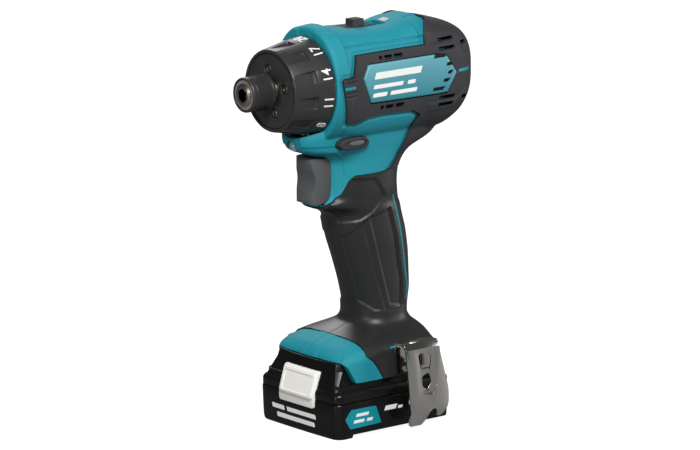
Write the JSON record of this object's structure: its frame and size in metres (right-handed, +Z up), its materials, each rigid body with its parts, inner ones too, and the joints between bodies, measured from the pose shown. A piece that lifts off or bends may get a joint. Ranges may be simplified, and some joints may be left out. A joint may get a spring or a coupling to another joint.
{
  "type": "cordless drill",
  "caption": "Pistol-grip cordless drill driver with a quick-release hex bit holder, torque ring, trigger, belt clip and a slide-on battery that it stands on.",
  "frame": {"origin": "on the flat base of the battery, under the middle of the grip", "axes": "+Z up, -X along the spindle towards the bit holder, so +Y is the drill's right side as its user holds it"},
  "size_m": [0.14, 0.0749, 0.2084],
  "materials": {
    "teal_nylon": "fine-grained moulded nylon, teal",
    "black_nylon": "fine-grained moulded nylon, black",
    "soft_elastomer": "soft-touch overmoulding, dark grey",
    "label_print": "printed badge plate, teal with dark bars",
    "cast_alloy": "cast and machined alloy",
    "dark_steel": "drawn or sintered steel, dark",
    "bright_steel": "ground steel",
    "nickel_steel": "nickel-plated sheet steel",
    "copper": "copper windings on a laminated core",
    "ferrite": "ferrite and carbon, matt",
    "latch_white": "off-white moulded plastic",
    "cell_wrap": null,
    "clear_lens": "clear moulded lens"
  },
  "bodies": {
    "housing": {"housing_left": "teal_nylon", "housing_right": "teal_nylon", "grip_left": "soft_elastomer", "grip_right": "soft_elastomer", "rear_cover_left": "black_nylon", "rear_cover_right": "black_nylon", "label_panel_left": "label_print", "label_panel_right": "label_print", "gear_case": "cast_alloy", "front_plate": "black_nylon", "front_plate_screw_1": "bright_steel", "front_plate_screw_2": "bright_steel", "front_plate_screw_3": "bright_steel", "front_plate_screw_4": "bright_steel", "clutch_washer": "bright_steel", "clutch_spring": "bright_steel", "spindle_bush": "bright_steel", "ring_gear_front": "dark_steel", "ring_gear_rear": "dark_steel", "motor_can": "dark_steel", "magnet_1": "ferrite", "magnet_2": "ferrite", "motor_end_cap": "black_nylon", "brush_1": "ferrite", "brush_2": "ferrite", "motor_bearing": "bright_steel", "switch_body": "black_nylon", "trigger_spring": "bright_steel", "led_lens": "clear_lens", "terminal_block": "bright_steel", "belt_clip": "nickel_steel"},
    "rotor": {"rotor": "copper", "pinion": "bright_steel", "fan": "black_nylon"},
    "carrier": {"carrier": "dark_steel"},
    "rear_planet_1": {"rear_planet_1": "bright_steel"},
    "rear_planet_2": {"rear_planet_2": "bright_steel"},
    "rear_planet_3": {"rear_planet_3": "bright_steel"},
    "spindle": {"spindle": "bright_steel", "sleeve_clip": "bright_steel", "sleeve_spring": "bright_steel", "lock_ball_1": "bright_steel", "lock_ball_2": "bright_steel"},
    "front_planet_1": {"front_planet_1": "bright_steel"},
    "front_planet_2": {"front_planet_2": "bright_steel"},
    "front_planet_3": {"front_planet_3": "bright_steel"},
    "bit_sleeve": {"bit_sleeve": "black_nylon"},
    "torque_ring": {"torque_ring": "black_nylon"},
    "clutch_nut": {"clutch_nut": "cast_alloy"},
    "trigger": {"trigger": "black_nylon"},
    "direction_button": {"direction_button": "black_nylon"},
    "speed_lever": {"speed_lever": "black_nylon"},
    "battery": {"battery_tub": "black_nylon", "battery_top": "black_nylon", "latch_spring": "bright_steel", "cell_1": "cell_wrap", "cell_2": "cell_wrap", "cell_3": "cell_wrap"},
    "battery_latch": {"battery_latch": "latch_white"}
  },
  "joints": [
    {"name": "rotor_spin", "type": "hinge", "parent": "housing", "child": "rotor", "pos_m": [-0.0125, 0, 0.1778], "axis": [1, 0, 0], "continuous": true},
    {"name": "carrier_spin", "type": "hinge", "parent": "housing", "child": "carrier", "pos_m": [-0.0247, 0, 0.1778], "axis": [1, 0, 0], "continuous": true},
    {"name": "spindle_spin", "type": "hinge", "parent": "housing", "child": "spindle", "pos_m": [-0.0783, 0, 0.1778], "axis": [1, 0, 0], "continuous": true},
    {"name": "rear_planet_1_spin", "type": "hinge", "parent": "carrier", "child": "rear_planet_1", "pos_m": [-0.0219, 0.0105, 0.1778], "axis": [1, 0, 0], "continuous": true},
    {"name": "rear_planet_2_spin", "type": "hinge", "parent": "carrier", "child": "rear_planet_2", "pos_m": [-0.0219, -0.00525, 0.18689], "axis": [1, 0, 0], "continuous": true},
    {"name": "rear_planet_3_spin", "type": "hinge", "parent": "carrier", "child": "rear_planet_3", "pos_m": [-0.0219, -0.00525, 0.16871], "axis": [1, 0, 0], "continuous": true},
    {"name": "front_planet_1_spin", "type": "hinge", "parent": "spindle", "child": "front_planet_1", "pos_m": [-0.0311, 0.0105, 0.1778], "axis": [1, 0, 0], "continuous": true},
    {"name": "front_planet_2_spin", "type": "hinge", "parent": "spindle", "child": "front_planet_2", "pos_m": [-0.0311, -0.00525, 0.18689], "axis": [1, 0, 0], "continuous": true},
    {"name": "front_planet_3_spin", "type": "hinge", "parent": "spindle", "child": "front_planet_3", "pos_m": [-0.0311, -0.00525, 0.16871], "axis": [1, 0, 0], "continuous": true},
    {"name": "sleeve_slide", "type": "slide", "parent": "spindle", "child": "bit_sleeve", "axis": [-1, 0, 0], "range_m": [0, 0.0025], "stiffness_N_per_m": 800, "springref_m": -0.001, "deforming": ["sleeve_spring"]},
    {"name": "torque_turn", "type": "hinge", "parent": "housing", "child": "torque_ring", "pos_m": [-0.0606, 0, 0.1778], "axis": [1, 0, 0], "range_deg": [-150, 150]},
    {"name": "clutch_nut_slide", "type": "slide", "parent": "housing", "child": "clutch_nut", "axis": [1, 0, 0], "range_m": [-0.003, 0.003], "deforming": ["clutch_spring"]},
    {"name": "trigger_pull", "type": "slide", "parent": "housing", "child": "trigger", "axis": [1, 0, 0], "range_m": [0, 0.005], "stiffness_N_per_m": 400, "springref_m": -0.002, "deforming": ["trigger_spring"]},
    {"name": "direction_slide", "type": "slide", "parent": "housing", "child": "direction_button", "axis": [0, 1, 0], "range_m": [-0.003, 0.003]},
    {"name": "speed_slide", "type": "slide", "parent": "housing", "child": "speed_lever", "axis": [1, 0, 0], "range_m": [0, 0.007]},
    {"name": "battery_slide", "type": "slide", "parent": "housing", "child": "battery", "axis": [-1, 0, 0], "range_m": [0, 0.06]},
    {"name": "latch_press", "type": "slide", "parent": "battery", "child": "battery_latch", "axis": [1, 0, 0], "range_m": [0, 0.0022], "stiffness_N_per_m": 600, "springref_m": -0.001, "deforming": ["latch_spring"]}
  ],
  "couplings": [
    {"joint": "carrier_spin", "follows": "rotor_spin", "ratio": 0.21429},
    {"joint": "spindle_spin", "follows": "rotor_spin", "ratio": 0.045918},
    {"joint": "rear_planet_1_spin", "follows": "rotor_spin", "ratio": -0.58929},
    {"joint": "rear_planet_2_spin", "follows": "rotor_spin", "ratio": -0.58929},
    {"joint": "rear_planet_3_spin", "follows": "rotor_spin", "ratio": -0.58929},
    {"joint": "front_planet_1_spin", "follows": "rotor_spin", "ratio": -0.12628},
    {"joint": "front_planet_2_spin", "follows": "rotor_spin", "ratio": -0.12628},
    {"joint": "front_planet_3_spin", "follows": "rotor_spin", "ratio": -0.12628},
    {"joint": "clutch_nut_slide", "follows": "torque_turn", "m_per_rad": 0.001145}
  ]
}
